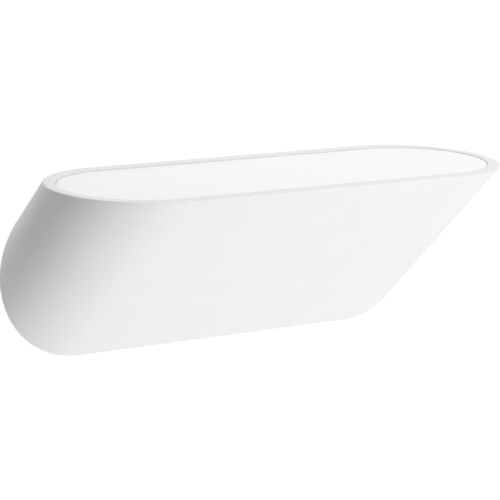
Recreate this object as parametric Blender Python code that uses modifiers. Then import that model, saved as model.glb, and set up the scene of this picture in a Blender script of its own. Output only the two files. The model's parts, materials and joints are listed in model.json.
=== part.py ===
"""Wall uplighter: a cast plaster body with a frosted glass diffuser, hung on a steel wall plate.

Units are metres. X runs along the light, +Y points into the wall (the wall surface is y = 0)
and +Z is up. Distances out from the wall are called depth, so depth = -y.

The body is a tube with a stadium outline. It leans away from the wall at 45 degrees, rising
exactly as much as it comes forward. The wall cuts it in a vertical plane and the rim cuts it
in a level plane, so both cuts have the same round-ended outline.
"""

import math

import bmesh
import bpy
from mathutils import Matrix, Vector

# ---------------------------------------------------------------- plaster body
LENGTH = 0.300            # overall length along the wall
END_RADIUS = 0.053        # radius of the round ends, and half the outline's height
RIM_SETBACK = 0.0088      # depth of the rim's back edge, where the body leaves the wall
RIM_WIDTH = 0.0092        # level top of the wall of the body, at the front and at the back
RIM_END_WIDTH = 0.0065    # the same at the two ends, where the wall is not cut on the slant
EDGE_EASE = 0.0004        # small flat along the sharp outer edges
POCKET_DEPTH = 0.0054     # the rebate that the glass lies in, below the rim
LEDGE = 0.0083            # width of the rebate's ledge at the front and at the back
LEDGE_END = 0.009         # width of the ledge at the two ends

# ---------------------------------------------------------------- glass diffuser
GLASS_RECESS = 0.0006     # top of the glass below the rim
GLASS_THICK = 0.003
GLASS_SIDE_GAP = 0.0007
GLASS_EASE = 0.0004
PAD_RADIUS = 0.0022
PAD_X = 0.070             # the four pads stand at +-PAD_X
TOUCH = 0.0003            # gap between faces that touch

# ---------------------------------------------------------------- wall plate and hanging hooks
PLATE_THICK = 0.0015
PLATE_TOP_GAP = 0.0016    # under the top wall of the body
PLATE_LOW_GAP = 0.0104    # over the bottom wall, which rises when the body is lifted off
PLATE_END_GAP = 0.014
HOOK_X = 0.045            # the two hooks stand at +-HOOK_X
HOOK_WIDTH = 0.024
HOOK_THICK = 0.0015
HOOK_REACH = 0.005        # depth of the hook's front face
HOOK_RISE = 0.0075        # tongue above the shelf that the keeper sits on
KEEPER_WIDTH = 0.030
KEEPER_THICK = 0.002
KEEPER_HEIGHT = 0.0172
KEEPER_SCREW_X = 0.009    # the two screws stand at +-KEEPER_SCREW_X on each keeper
KEEPER_SCREW_DROP = 0.005  # screws below the keeper's top edge
KEEPER_SCREW_LEN = 0.015
SCREW_RADIUS = 0.00175
CAST_GAP = 0.001          # room around the hook and the keeper in the plaster
FIX_SLOT_WIDTH = 0.0055
FIX_SLOT_LENGTH = 0.010
FIX_SLOT_INSET = 0.007    # slots stand this far outside the bracket arms
FIX_SLOT_Z = -0.009
CABLE_HOLE_RADIUS = 0.007
CABLE_X = -0.036
CABLE_Z = -0.006
GROMMET_BORE = 0.004
GROMMET_FLANGE = 0.0088
GROMMET_LIP = 0.0016

# ---------------------------------------------------------------- double-ended lamp, 118 mm size
LAMP_CONTACT_SPAN = 0.1142   # distance between the two end contacts
LAMP_CAP_RADIUS = 0.004
LAMP_CAP_LENGTH = 0.013
LAMP_CAP_OVERHANG = 0.0017   # ceramic past each contact face
LAMP_RECESS_RADIUS = 0.002
LAMP_CONTACT_THICK = 0.001
LAMP_TUBE_RADIUS = 0.005
LAMP_TUBE_WALL = 0.001
LAMP_TUBE_LENGTH = 0.086
PINCH_WIDTH = 0.006
PINCH_THICK = 0.002
FILAMENT_RADIUS = 0.0007
FILAMENT_WIRE = 0.00015
FILAMENT_TURNS = 12
LAMP_BELOW_GLASS = 0.0282    # lamp axis under the glass
LAMP_OVER_WALL = 0.0349      # lamp axis above the body's lower wall, measured straight up

# ---------------------------------------------------------------- lampholders and contacts
HOLDER_HALF = 0.008          # half width, and the height above the lamp axis
HOLDER_DROP = 0.009          # below the lamp axis
HOLDER_FACE_X = 0.052        # inner face of each lampholder
HOLDER_END_GAP = 0.0005      # left over when the lamp is pushed fully home
HOLDER_CAP_GAP = 0.0005
CONTACT_TRAVEL = 0.003
PIN_RADIUS = 0.0015
PIN_GUIDE_LENGTH = 0.003
PIN_GAP = 0.0003
COLLAR_RADIUS = 0.0032
COLLAR_THICK = 0.001
TAIL_RADIUS = 0.001
SPRING_ROOM = 0.008
SPRING_COIL_RADIUS = 0.0026
SPRING_WIRE = 0.0003
SPRING_TURNS = 4.5
SPRING_CAP_THICK = 0.001
HOLDER_BACK_LIP = 0.0004

# ---------------------------------------------------------------- brackets and reflector
BRACKET_THICK = 0.0015
BRACKET_FLANGE = 0.014       # width of the flange that lies on the wall plate
BRACKET_LOW_Z = -0.002
BEND_STEP = 0.0003           # the arm's edges stand this far inside the flange's and foot's
BRACKET_TOP_Z = 0.014
BRACKET_FOOT = 0.0105        # width of the foot that carries the reflector
BRACKET_FOOT_LENGTH = 0.010
HOLDER_SCREW_SIDE = 0.0007
HOLDER_SCREW_DROP = 0.0078
HOLDER_SCREW_RADIUS = 0.0014
HOLDER_SCREW_GRIP = 0.008
WIRE_HOLE_RADIUS = 0.003
WIRE_HOLE_DEPTH = 0.009
WIRE_HOLE_Z = 0.006
REFLECTOR_OVER_WALL = 0.0169  # top of the reflector above the body's lower wall, straight up
REFLECTOR_THICK = 0.0008
REFLECTOR_BACK = 0.005
REFLECTOR_AHEAD = 0.024      # the reflector's front edge, past the lamp axis
REFLECTOR_LIP = 0.006
REFLECTOR_END_GAP = 0.0008
RIVET_RADIUS = 0.0015
RIVET_HEAD = 0.0027
RIVET_HEAD_THICK = 0.0009

# ---------------------------------------------------------------- terminal block, earth and wires
TERMINAL_X = -0.005
TERMINAL_PITCH = 0.009
TERMINAL_DEPTH = 0.012
TERMINAL_HEIGHT = 0.014
TERMINAL_MARGIN = 0.006
TERMINAL_OVER_REFLECTOR = 0.0032
INSERT_RADIUS = 0.0025
INSERT_BORE = 0.0016
INSERT_LENGTH = 0.012
TERMINAL_SCREW_RADIUS = 0.0016
EARTH_X = 0.040
EARTH_Z = 0.0
EARTH_SCREW_RADIUS = 0.002
EARTH_TAG_RADIUS = 0.0045
EARTH_TAG_THICK = 0.0008
EARTH_TAG_TAIL = 0.006
WIRE_RADIUS = 0.0008
HEAD_RATIO = 1.9             # screw heads against their shanks

# ---------------------------------------------------------------- places that follow from the sizes
TOP_Z = END_RADIUS + RIM_SETBACK               # the rim plane
STRAIGHT = LENGTH / 2 - END_RADIUS             # half length of the straight sides
LEDGE_Z = TOP_Z - POCKET_DEPTH
POCKET_RADIUS = END_RADIUS - RIM_WIDTH         # the rebate's ends: half their width
POCKET_REACH = END_RADIUS - RIM_END_WIDTH      # and how far they reach past the straight sides
POCKET_BACK = RIM_SETBACK + RIM_WIDTH          # depth of the rebate's back wall
POCKET_FRONT = RIM_SETBACK + 2 * END_RADIUS - RIM_WIDTH
CAVITY_TOP = LEDGE_Z - (POCKET_BACK + LEDGE)   # height of the cavity's outline on the wall
CAVITY_LOW = LEDGE_Z - (POCKET_FRONT - LEDGE)
CAVITY_MID = (CAVITY_TOP + CAVITY_LOW) / 2
CAVITY_RADIUS = (CAVITY_TOP - CAVITY_LOW) / 2
CAVITY_HALF = STRAIGHT + POCKET_REACH - LEDGE_END
GLASS_TOP = TOP_Z - GLASS_RECESS
GLASS_LOW = GLASS_TOP - GLASS_THICK
GLASS_RADIUS = POCKET_RADIUS - GLASS_SIDE_GAP
GLASS_REACH = POCKET_REACH - GLASS_SIDE_GAP
PLATE_TOP = CAVITY_TOP - PLATE_TOP_GAP
PLATE_LOW = CAVITY_LOW + PLATE_LOW_GAP
PLATE_RADIUS = (PLATE_TOP - PLATE_LOW) / 2
PLATE_MID = (PLATE_TOP + PLATE_LOW) / 2
PLATE_HALF = CAVITY_HALF - PLATE_END_GAP
HOOK_TOP = PLATE_TOP + HOOK_RISE
KEEPER_LOW = PLATE_TOP + TOUCH
LAMP_Z = GLASS_LOW - LAMP_BELOW_GLASS
LAMP_DEPTH = LAMP_Z - (CAVITY_LOW + LAMP_OVER_WALL)
REFLECTOR_FRONT = LAMP_DEPTH + REFLECTOR_AHEAD
LAMP_END_X = LAMP_CONTACT_SPAN / 2
POCKET_END_X = LAMP_END_X + LAMP_CAP_OVERHANG + CONTACT_TRAVEL + HOLDER_END_GAP
GUIDE_END_X = POCKET_END_X + PIN_GUIDE_LENGTH
COLLAR_X = GUIDE_END_X + PIN_GAP
SPRING_X = COLLAR_X + COLLAR_THICK + TOUCH
SPRING_CAP_X = SPRING_X + SPRING_ROOM
HOLDER_END_X = SPRING_CAP_X + SPRING_CAP_THICK + HOLDER_BACK_LIP
ARM_X = HOLDER_END_X + TOUCH
ARM_OUT_X = ARM_X + BRACKET_THICK
REFLECTOR_Z0 = CAVITY_LOW + REFLECTOR_OVER_WALL   # height of the reflector's slope at the wall
TERMINAL_LOW = REFLECTOR_Z0 + PLATE_THICK + TERMINAL_DEPTH + TERMINAL_OVER_REFLECTOR
TERMINAL_MID_Z = TERMINAL_LOW + TERMINAL_HEIGHT / 2
TERMINAL_FACE = PLATE_THICK + TOUCH + TERMINAL_DEPTH
INSERT_DEPTH = PLATE_THICK + TOUCH + 0.45 * TERMINAL_DEPTH
SLOPE = math.sqrt(2.0)

parts = bpy.data.collections.new("wall_uplighter")
cutters = bpy.data.collections.new("cutters")


def clear_scene():
    for obj in list(bpy.data.objects):
        bpy.data.objects.remove(obj, do_unlink=True)
    for coll in (parts, cutters):
        bpy.context.scene.collection.children.link(coll)


def at(x, depth, z):
    """World position of a point given by its place along the wall, its depth and its height."""
    return Vector((x, -depth, z))


def material(name, colour, roughness, metallic=0.0, alpha=1.0):
    mat = bpy.data.materials.new(name)
    mat.use_nodes = True
    shader = mat.node_tree.nodes["Principled BSDF"]
    shader.inputs["Base Color"].default_value = (*colour, 1.0)
    shader.inputs["Roughness"].default_value = roughness
    shader.inputs["Metallic"].default_value = metallic
    shader.inputs["Alpha"].default_value = alpha
    return mat


LOOKS = {
    "plaster": ((0.90, 0.90, 0.90), 0.80, 0.0),
    "glass": ((0.95, 0.96, 0.96), 0.35, 0.0),
    "steel": ((0.55, 0.56, 0.57), 0.35, 1.0),
    "white_steel": ((0.82, 0.82, 0.81), 0.45, 0.0),
    "aluminium": ((0.86, 0.87, 0.88), 0.22, 1.0),
    "ceramic": ((0.86, 0.84, 0.79), 0.50, 0.0),
    "brass": ((0.80, 0.60, 0.28), 0.30, 1.0),
    "silicone": ((0.80, 0.80, 0.80), 0.70, 0.0),
    "rubber": ((0.06, 0.06, 0.06), 0.70, 0.0),
    "plastic": ((0.80, 0.80, 0.78), 0.45, 0.0),
    "quartz": ((0.93, 0.95, 0.97), 0.05, 0.0),
    "tungsten": ((0.30, 0.30, 0.31), 0.45, 1.0),
    "wire_brown": ((0.22, 0.10, 0.05), 0.45, 0.0),
    "wire_blue": ((0.05, 0.16, 0.45), 0.45, 0.0),
    "wire_green": ((0.10, 0.42, 0.12), 0.45, 0.0),
}


def add(name, mesh, look=None, location=(0, 0, 0), rotation=None, parent=None, smooth=True):
    """Put a mesh in the scene as a named piece, or as a hidden cutter when it has no look."""
    obj = bpy.data.objects.new(name, mesh)
    if rotation is not None:
        obj.rotation_euler = rotation
    if parent is not None:
        obj.parent = parent
        location = Vector(location) - parent.location
    obj.location = location
    if look is None:
        cutters.objects.link(obj)
        obj.hide_render = True
        obj.display_type = "WIRE"
        return obj
    parts.objects.link(obj)
    colour, roughness, metallic = LOOKS[look]
    mesh.materials.append(material(name, colour, roughness, metallic, 0.6 if look == "glass" else 1.0))
    if smooth:
        mesh.shade_smooth()
        mesh.set_sharp_from_angle(angle=math.radians(35))
    return obj


def empty(name, location, parent=None):
    """A joint axis that moving pieces hang from."""
    obj = bpy.data.objects.new(name, None)
    obj.empty_display_size = 0.02
    obj.parent = parent
    obj.location = Vector(location) - (parent.location if parent else Vector((0, 0, 0)))
    parts.objects.link(obj)
    return obj


def boolean(obj, others, operation="DIFFERENCE"):
    for other in others:
        mod = obj.modifiers.new(f"{operation.lower()}_{other.name}", "BOOLEAN")
        mod.operation = operation
        mod.solver = "EXACT"
        mod.object = other
    return obj


def to_mesh(bm, name):
    bmesh.ops.recalc_face_normals(bm, faces=bm.faces)
    mesh = bpy.data.meshes.new(name)
    bm.to_mesh(mesh)
    bm.free()
    return mesh


def box_mesh(name, sx, sy, sz):
    bm = bmesh.new()
    bmesh.ops.create_cube(bm, size=1.0)
    bmesh.ops.scale(bm, verts=bm.verts, vec=(sx, sy, sz))
    return to_mesh(bm, name)


def box(name, x, depth, z, look=None, parent=None):
    """A box between two values along each of the three directions."""
    mesh = box_mesh(name, x[1] - x[0], depth[1] - depth[0], z[1] - z[0])
    centre = at((x[0] + x[1]) / 2, (depth[0] + depth[1]) / 2, (z[0] + z[1]) / 2)
    return add(name, mesh, look, centre, parent=parent, smooth=False)


def rod(name, start, end, radius, look=None, sides=24, parent=None):
    """A round bar between two points."""
    run = end - start
    bm = bmesh.new()
    bmesh.ops.create_cone(bm, cap_ends=True, segments=sides, radius1=radius, radius2=radius,
                          depth=run.length)
    mesh = to_mesh(bm, name)
    turn = run.to_track_quat("Z", "Y").to_euler()
    return add(name, mesh, look, (start + end) / 2, turn, parent)


def stadium(straight, radius, steps, reach=None):
    """Outline with round ends around the origin, anticlockwise, as (along, across) pairs. The ends
    reach as far as their radius past the straight sides, or as far as given."""
    reach = radius if reach is None else reach
    points = []
    for side, start in ((1, -90), (-1, 90)):
        for i in range(steps + 1):
            angle = math.radians(start + 180 * i / steps)
            points.append((side * straight + reach * math.cos(angle), radius * math.sin(angle)))
    return points


def stack(name, rings, look=None, parent=None):
    """A closed solid that passes through outlines of equal point counts, capped at both ends."""
    bm = bmesh.new()
    origin = parent.location if parent else Vector((0, 0, 0))
    face = bm.faces.new([bm.verts.new(Vector(p) - origin) for p in rings[0]])
    loop = list(face.verts)
    for count, ring in enumerate(rings[1:]):
        left = face
        made = bmesh.ops.extrude_face_region(bm, geom=[face])["geom"]
        face = next(g for g in made if isinstance(g, bmesh.types.BMFace))
        if count:
            bm.faces.remove(left)
        partner = {}
        for edge in bm.edges:
            a, b = edge.verts
            if a in face.verts and b in loop:
                partner[b] = a
            elif b in face.verts and a in loop:
                partner[a] = b
        loop = [partner[v] for v in loop]
        for vert, place in zip(loop, ring):
            vert.co = Vector(place) - origin
    return add(name, to_mesh(bm, name), look, origin, parent=parent)


def slab_x(name, outline, x0, x1, look=None, parent=None):
    """A flat shape drawn as (depth, height) pairs and given a thickness along X."""
    return stack(name, [[at(x0, d, z) for d, z in outline], [at(x1, d, z) for d, z in outline]],
                 look, parent)


def turned(name, profile, start, direction, look, sides=24, parent=None):
    """A turned piece. The profile is (radius, distance) pairs along its axis from the start."""
    mesh = bpy.data.meshes.new(name)
    points = [(radius, 0.0, along) for radius, along in profile]
    closed = profile[0][0] > 0
    edges = [(i, i + 1) for i in range(len(points) - 1)] + ([(len(points) - 1, 0)] if closed else [])
    mesh.from_pydata(points, edges, [])
    turn = direction.to_track_quat("Z", "Y").to_euler()
    obj = add(name, mesh, look, start, turn, parent)
    screw = obj.modifiers.new("turn", "SCREW")
    screw.steps = screw.render_steps = sides
    screw.use_merge_vertices = True
    screw.merge_threshold = 0.00001
    screw.use_smooth_shade = True
    return obj


def smooth_path(points, per_span=5):
    """Points along a smooth curve that passes through the given ones."""
    out = []
    for i in range(len(points) - 1):
        p0 = points[max(i - 1, 0)]
        p1, p2 = points[i], points[i + 1]
        p3 = points[min(i + 2, len(points) - 1)]
        for k in range(per_span):
            t = k / per_span
            out.append(0.5 * ((2 * p1) + (p2 - p0) * t + (2 * p0 - 5 * p1 + 4 * p2 - p3) * t * t
                              + (3 * p1 - p0 - 3 * p2 + p3) * t ** 3))
    return out + [points[-1]]


def tube(name, points, radius, look, parent=None):
    """A wire along the given points, with filled ends."""
    origin = parent.location if parent else Vector((0, 0, 0))
    curve = bpy.data.curves.new(name, "CURVE")
    curve.dimensions = "3D"
    spline = curve.splines.new("POLY")
    spline.points.add(len(points) - 1)
    for place, point in zip(spline.points, points):
        place.co = (*(point - origin), 1.0)
    curve.bevel_depth = radius
    curve.bevel_resolution = 2
    curve.use_fill_caps = True
    colour, roughness, metallic = LOOKS[look]
    curve.materials.append(material(name, colour, roughness, metallic))
    obj = bpy.data.objects.new(name, curve)
    obj.parent = parent
    parts.objects.link(obj)
    return obj


def screw_profile(radius, grip, head_thick, head=None):
    """Pan-head screw from its tip to the top of its head; the head's underside is at `grip`."""
    head = head or radius * HEAD_RATIO
    return [(0, grip + head_thick), (head * 0.8, grip + head_thick), (head, grip + head_thick * 0.6),
            (head, grip), (radius, grip), (radius, 0.0005), (radius * 0.7, 0), (0, 0)]


# ======================================================================= pieces that stay on the wall
def wall_plate():
    """Steel plate on the wall: two hooks on its top edge, slots for the wall screws, a cable hole."""
    outline = stadium(PLATE_HALF - PLATE_RADIUS, PLATE_RADIUS, 16)
    plate = stack("wall_plate", [[at(x, 0, PLATE_MID + z) for x, z in outline],
                                 [at(x, PLATE_THICK, PLATE_MID + z) for x, z in outline]],
                  "white_steel")
    hooks = []
    for side in (-1, 1):
        low = PLATE_TOP - HOOK_THICK
        shape = [(PLATE_THICK / 2, low), (HOOK_REACH, low), (HOOK_REACH, HOOK_TOP),
                 (HOOK_REACH - HOOK_THICK, HOOK_TOP), (HOOK_REACH - HOOK_THICK, PLATE_TOP),
                 (PLATE_THICK / 2, PLATE_TOP)]
        middle = side * HOOK_X
        hooks.append(slab_x(f"hook_form_{side}", shape, middle - HOOK_WIDTH / 2,
                            middle + HOOK_WIDTH / 2))
    boolean(plate, hooks, "UNION")
    holes = [rod("cable_hole", at(CABLE_X, -0.01, CABLE_Z), at(CABLE_X, 0.01, CABLE_Z),
                 CABLE_HOLE_RADIUS),
             rod("earth_hole", at(EARTH_X, -0.01, EARTH_Z), at(EARTH_X, 0.01, EARTH_Z),
                 EARTH_SCREW_RADIUS + TOUCH, sides=16)]
    for side in (-1, 1):
        x = side * (ARM_OUT_X + FIX_SLOT_INSET)
        run = (FIX_SLOT_LENGTH - FIX_SLOT_WIDTH) / 2
        shape = stadium(run, FIX_SLOT_WIDTH / 2, 8)
        holes.append(stack(f"fixing_slot_{side}",
                           [[at(x + b, -0.01, FIX_SLOT_Z + a) for a, b in shape],
                            [at(x + b, 0.01, FIX_SLOT_Z + a) for a, b in shape]]))
        x, z = bracket_screw_place(side)
        holes.append(rod(f"plate_bracket_hole_{side}", at(x, -0.01, z), at(x, 0.01, z),
                         EARTH_SCREW_RADIUS + TOUCH, sides=16))
    boolean(plate, holes)


def bracket_screw_place(side):
    return side * (ARM_OUT_X + BRACKET_FLANGE * 0.55), (BRACKET_LOW_Z + BRACKET_TOP_Z) / 2 + 0.001


def cable_grommet():
    """Rubber ring that lines the cable hole."""
    neck = CABLE_HOLE_RADIUS - TOUCH
    face = PLATE_THICK + TOUCH
    turned("cable_grommet", [(GROMMET_BORE, face + GROMMET_LIP), (GROMMET_FLANGE, face + GROMMET_LIP),
                             (GROMMET_FLANGE, face), (neck, face), (neck, TOUCH), (GROMMET_BORE, TOUCH)],
           at(CABLE_X, 0, CABLE_Z), Vector((0, -1, 0)), "rubber", 24)


def bracket(side, word):
    """Bent steel bracket: a flange on the wall plate, an arm for the lampholder and a foot."""
    name = f"bracket_{word}"
    back = PLATE_THICK + TOUCH
    line = REFLECTOR_Z0 + TOUCH * SLOPE
    low, edge = BRACKET_LOW_Z + BEND_STEP, line + 2 * BEND_STEP
    arm_shape = [(back + BEND_STEP, low), (low - edge, low),
                 (LAMP_DEPTH + 0.010, LAMP_DEPTH + 0.010 + edge), (LAMP_DEPTH + 0.010, LAMP_Z + 0.008),
                 (LAMP_DEPTH - 0.006, LAMP_Z + 0.010), (back + BEND_STEP, BRACKET_TOP_Z - BEND_STEP)]
    arm = slab_x(name, arm_shape, side * ARM_X, side * ARM_OUT_X, "white_steel")
    flange = box(f"flange_form_{word}", sorted((side * (ARM_X + 0.0002), side * (ARM_OUT_X + BRACKET_FLANGE))),
                 (back, back + BRACKET_THICK), (BRACKET_LOW_Z, BRACKET_TOP_Z))
    d0, d1 = LAMP_DEPTH - 0.009, LAMP_DEPTH - 0.009 + BRACKET_FOOT_LENGTH
    rise = BRACKET_THICK * SLOPE
    foot_shape = [(d0, d0 + line), (d1, d1 + line), (d1, d1 + line + rise), (d0, d0 + line + rise)]
    foot = slab_x(f"foot_form_{word}", foot_shape, side * (ARM_X - BRACKET_FOOT),
                  side * (ARM_X + BRACKET_THICK / 2))
    boolean(arm, [flange, foot], "UNION")
    x, z = bracket_screw_place(side)
    along = Vector((side, 0, 0))
    axis = at(0, LAMP_DEPTH, LAMP_Z)
    low = at(0, LAMP_DEPTH + HOLDER_SCREW_SIDE, LAMP_Z - HOLDER_SCREW_DROP)
    wire = at(0, WIRE_HOLE_DEPTH, WIRE_HOLE_Z)
    holes = [
        rod(f"flange_hole_{word}", at(x, 0, z), at(x, 0.008, z), EARTH_SCREW_RADIUS + TOUCH, sides=16),
        rod(f"arm_tail_hole_{word}", axis + along * (ARM_X - 0.003), axis + along * (ARM_OUT_X + 0.003),
            COLLAR_RADIUS + 0.0008),
        rod(f"arm_screw_hole_{word}", low + along * (ARM_X - 0.003), low + along * (ARM_OUT_X + 0.003),
            HOLDER_SCREW_RADIUS + TOUCH, sides=16),
        rod(f"arm_wire_hole_{word}", wire + along * (ARM_X - 0.003), wire + along * (ARM_OUT_X + 0.003),
            WIRE_HOLE_RADIUS, sides=16),
    ]
    centre, normal = rivet_place(side)
    holes.append(rod(f"foot_hole_{word}", centre - normal * 0.004, centre + normal * 0.004,
                     RIVET_RADIUS + TOUCH, sides=16))
    boolean(arm, holes)


def bracket_screw(side, word):
    x, z = bracket_screw_place(side)
    face = PLATE_THICK + TOUCH + BRACKET_THICK + TOUCH
    turned(f"bracket_screw_{word}", screw_profile(EARTH_SCREW_RADIUS, face - TOUCH, 0.0024),
           at(x, TOUCH, z), Vector((0, -1, 0)), "steel", 16)


def holder(side, word):
    """Ceramic lampholder: a fork open at the top for the lamp's end, and a bore for its contact."""
    length = HOLDER_END_X - HOLDER_FACE_X
    height = HOLDER_HALF + HOLDER_DROP
    mesh = box_mesh(f"holder_{word}", length, 2 * HOLDER_HALF, height)
    mesh.transform(Matrix.Translation((0, 0, (HOLDER_HALF - HOLDER_DROP) / 2)))
    axis = at(0, LAMP_DEPTH, LAMP_Z)
    along = Vector((side, 0, 0))
    tilt = (-math.pi / 4, 0, 0)
    block = add(f"holder_{word}", mesh, "ceramic",
                axis + along * (HOLDER_FACE_X + HOLDER_END_X) / 2, tilt, smooth=False)
    fork = LAMP_CAP_RADIUS + HOLDER_CAP_GAP
    low = at(0, LAMP_DEPTH + HOLDER_SCREW_SIDE, LAMP_Z - HOLDER_SCREW_DROP)
    cuts = [
        rod(f"fork_round_{word}", axis + along * (HOLDER_FACE_X - 0.002), axis + along * POCKET_END_X, fork),
        box(f"fork_slot_{word}", sorted((side * (HOLDER_FACE_X - 0.002), side * POCKET_END_X)),
            (LAMP_DEPTH - fork * 0.999, LAMP_DEPTH + fork * 0.999), (LAMP_Z, LAMP_Z + 0.02)),
        rod(f"guide_bore_{word}", axis + along * (POCKET_END_X - 0.002), axis + along * (GUIDE_END_X + 0.001),
            PIN_RADIUS + PIN_GAP),
        rod(f"spring_bore_{word}", axis + along * GUIDE_END_X, axis + along * (HOLDER_END_X + 0.002),
            COLLAR_RADIUS + 2 * PIN_GAP),
        rod(f"holder_screw_bore_{word}", low + along * (HOLDER_END_X - HOLDER_SCREW_GRIP - TOUCH),
            low + along * (HOLDER_END_X + 0.002), HOLDER_SCREW_RADIUS + TOUCH, sides=16),
    ]
    boolean(block, cuts)


def holder_screw(side, word):
    low = at(0, LAMP_DEPTH + HOLDER_SCREW_SIDE, LAMP_Z - HOLDER_SCREW_DROP)
    tip = HOLDER_END_X - HOLDER_SCREW_GRIP
    grip = ARM_OUT_X + TOUCH - tip
    turned(f"holder_screw_{word}", screw_profile(HOLDER_SCREW_RADIUS, grip, 0.0018),
           low + Vector((side * tip, 0, 0)), Vector((side, 0, 0)), "steel", 16)


def fixed_contact():
    """Left contact: a pin with a long collar that fills its bore."""
    tip = LAMP_END_X + PIN_GAP
    collar = COLLAR_X - tip
    end = SPRING_CAP_X - tip
    turned("contact_left", [(0, end), (COLLAR_RADIUS, end), (COLLAR_RADIUS, collar), (PIN_RADIUS, collar),
                            (PIN_RADIUS, 0.0006), (PIN_RADIUS * 0.6, 0), (0, 0)],
           at(-tip, LAMP_DEPTH, LAMP_Z), Vector((-1, 0, 0)), "brass", 20)


def sprung_contact(parent):
    """Right contact: a pin with a collar that the spring pushes on, and a thin tail."""
    tip = LAMP_END_X + PIN_GAP
    collar = COLLAR_X - tip
    end = SPRING_CAP_X + SPRING_CAP_THICK + 0.001 - tip
    turned("contact_pin_right", [(0, end), (TAIL_RADIUS, end), (TAIL_RADIUS, collar + COLLAR_THICK),
                                 (COLLAR_RADIUS, collar + COLLAR_THICK), (COLLAR_RADIUS, collar),
                                 (PIN_RADIUS, collar), (PIN_RADIUS, 0.0006), (PIN_RADIUS * 0.6, 0), (0, 0)],
           at(tip, LAMP_DEPTH, LAMP_Z), Vector((1, 0, 0)), "brass", 20, parent)


def contact_spring():
    points = []
    turns, per_turn = SPRING_TURNS, 12
    first, last = SPRING_X + SPRING_WIRE, SPRING_CAP_X - TOUCH - SPRING_WIRE
    total = int(turns * per_turn)
    for i in range(total + 1):
        angle = 2 * math.pi * i / per_turn
        points.append(at(first + (last - first) * i / total,
                         LAMP_DEPTH + SPRING_COIL_RADIUS * math.cos(angle),
                         LAMP_Z + SPRING_COIL_RADIUS * math.sin(angle)))
    tube("contact_spring", points, SPRING_WIRE, "steel")


def spring_cap():
    """Brass washer that closes the spring's bore and carries the wire."""
    outer, bore = COLLAR_RADIUS + PIN_GAP, TAIL_RADIUS + PIN_GAP
    turned("spring_cap", [(bore, SPRING_CAP_THICK), (outer, SPRING_CAP_THICK), (outer, 0), (bore, 0)],
           at(SPRING_CAP_X, LAMP_DEPTH, LAMP_Z), Vector((1, 0, 0)), "brass", 24)


def rivet_place(side):
    """Middle of the joint between a bracket's foot and the reflector, and the slope's normal."""
    depth = LAMP_DEPTH - 0.009 + BRACKET_FOOT_LENGTH / 2
    return (at(side * (ARM_X - BRACKET_FOOT / 2), depth, depth + REFLECTOR_Z0),
            Vector((0, 1, 1)).normalized())


def reflector():
    """Folded aluminium sheet under the lamp, parallel to the body's lower wall."""
    half = ARM_X - REFLECTOR_END_GAP
    drop = REFLECTOR_THICK * SLOPE
    d0, d1, z0 = REFLECTOR_BACK, REFLECTOR_FRONT, REFLECTOR_Z0
    inner = d1 - REFLECTOR_THICK
    shape = [(d0, d0 + z0), (inner, inner + z0), (inner, d1 + z0 + REFLECTOR_LIP),
             (d1, d1 + z0 + REFLECTOR_LIP), (d1, d1 + z0 - drop), (d0, d0 + z0 - drop)]
    sheet = slab_x("reflector", shape, -half, half, "aluminium")
    holes = []
    for side in (-1, 1):
        centre, normal = rivet_place(side)
        holes.append(rod(f"reflector_hole_{side}", centre - normal * 0.004, centre + normal * 0.004,
                         RIVET_RADIUS + TOUCH, sides=16))
    boolean(sheet, holes)


def rivet(side, word):
    """Rivet through the foot and the reflector, with a head on each side."""
    centre, normal = rivet_place(side)
    low, high = -(REFLECTOR_THICK + TOUCH), TOUCH + BRACKET_THICK + TOUCH
    head = RIVET_HEAD_THICK
    turned(f"rivet_{word}",
           [(0, high + head), (RIVET_HEAD * 0.7, high + head), (RIVET_HEAD, high + head * 0.4),
            (RIVET_HEAD, high), (RIVET_RADIUS, high), (RIVET_RADIUS, low), (RIVET_HEAD, low),
            (RIVET_HEAD, low - head * 0.4), (RIVET_HEAD * 0.7, low - head), (0, low - head)],
           centre, normal, "aluminium", 16)


def pole_x(index):
    return TERMINAL_X + (index - 1) * TERMINAL_PITCH


def terminal_block():
    """Three-pole block: an upright bore and a front screw hole for each pole."""
    low, high = TERMINAL_LOW, TERMINAL_LOW + TERMINAL_HEIGHT
    x0, x1 = pole_x(0) - TERMINAL_MARGIN, pole_x(2) + TERMINAL_MARGIN
    block = box("terminal_block", (x0, x1), (PLATE_THICK + TOUCH, TERMINAL_FACE), (low, high), "plastic")
    cuts = []
    for i in range(3):
        x = pole_x(i)
        cuts.append(rod(f"pole_bore_{i}", at(x, INSERT_DEPTH, low - 0.002), at(x, INSERT_DEPTH, high + 0.002),
                        INSERT_RADIUS + TOUCH))
        cuts.append(rod(f"pole_screw_bore_{i}", at(x, INSERT_DEPTH, TERMINAL_MID_Z),
                        at(x, TERMINAL_FACE + 0.002, TERMINAL_MID_Z), TERMINAL_SCREW_RADIUS + TOUCH, sides=16))
        if i < 2:
            middle = x + TERMINAL_PITCH / 2
            cuts.append(box(f"pole_groove_{i}", (middle - 0.0008, middle + 0.0008),
                            (TERMINAL_FACE - 0.003, TERMINAL_FACE + 0.002), (low - 0.002, high + 0.002)))
    boolean(block, cuts)


def terminal_insert(i):
    half = INSERT_LENGTH / 2
    turned(f"terminal_insert_{i + 1}", [(INSERT_BORE, half), (INSERT_RADIUS, half), (INSERT_RADIUS, -half),
                                        (INSERT_BORE, -half)],
           at(pole_x(i), INSERT_DEPTH, TERMINAL_MID_Z), Vector((0, 0, 1)), "brass", 20)


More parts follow.
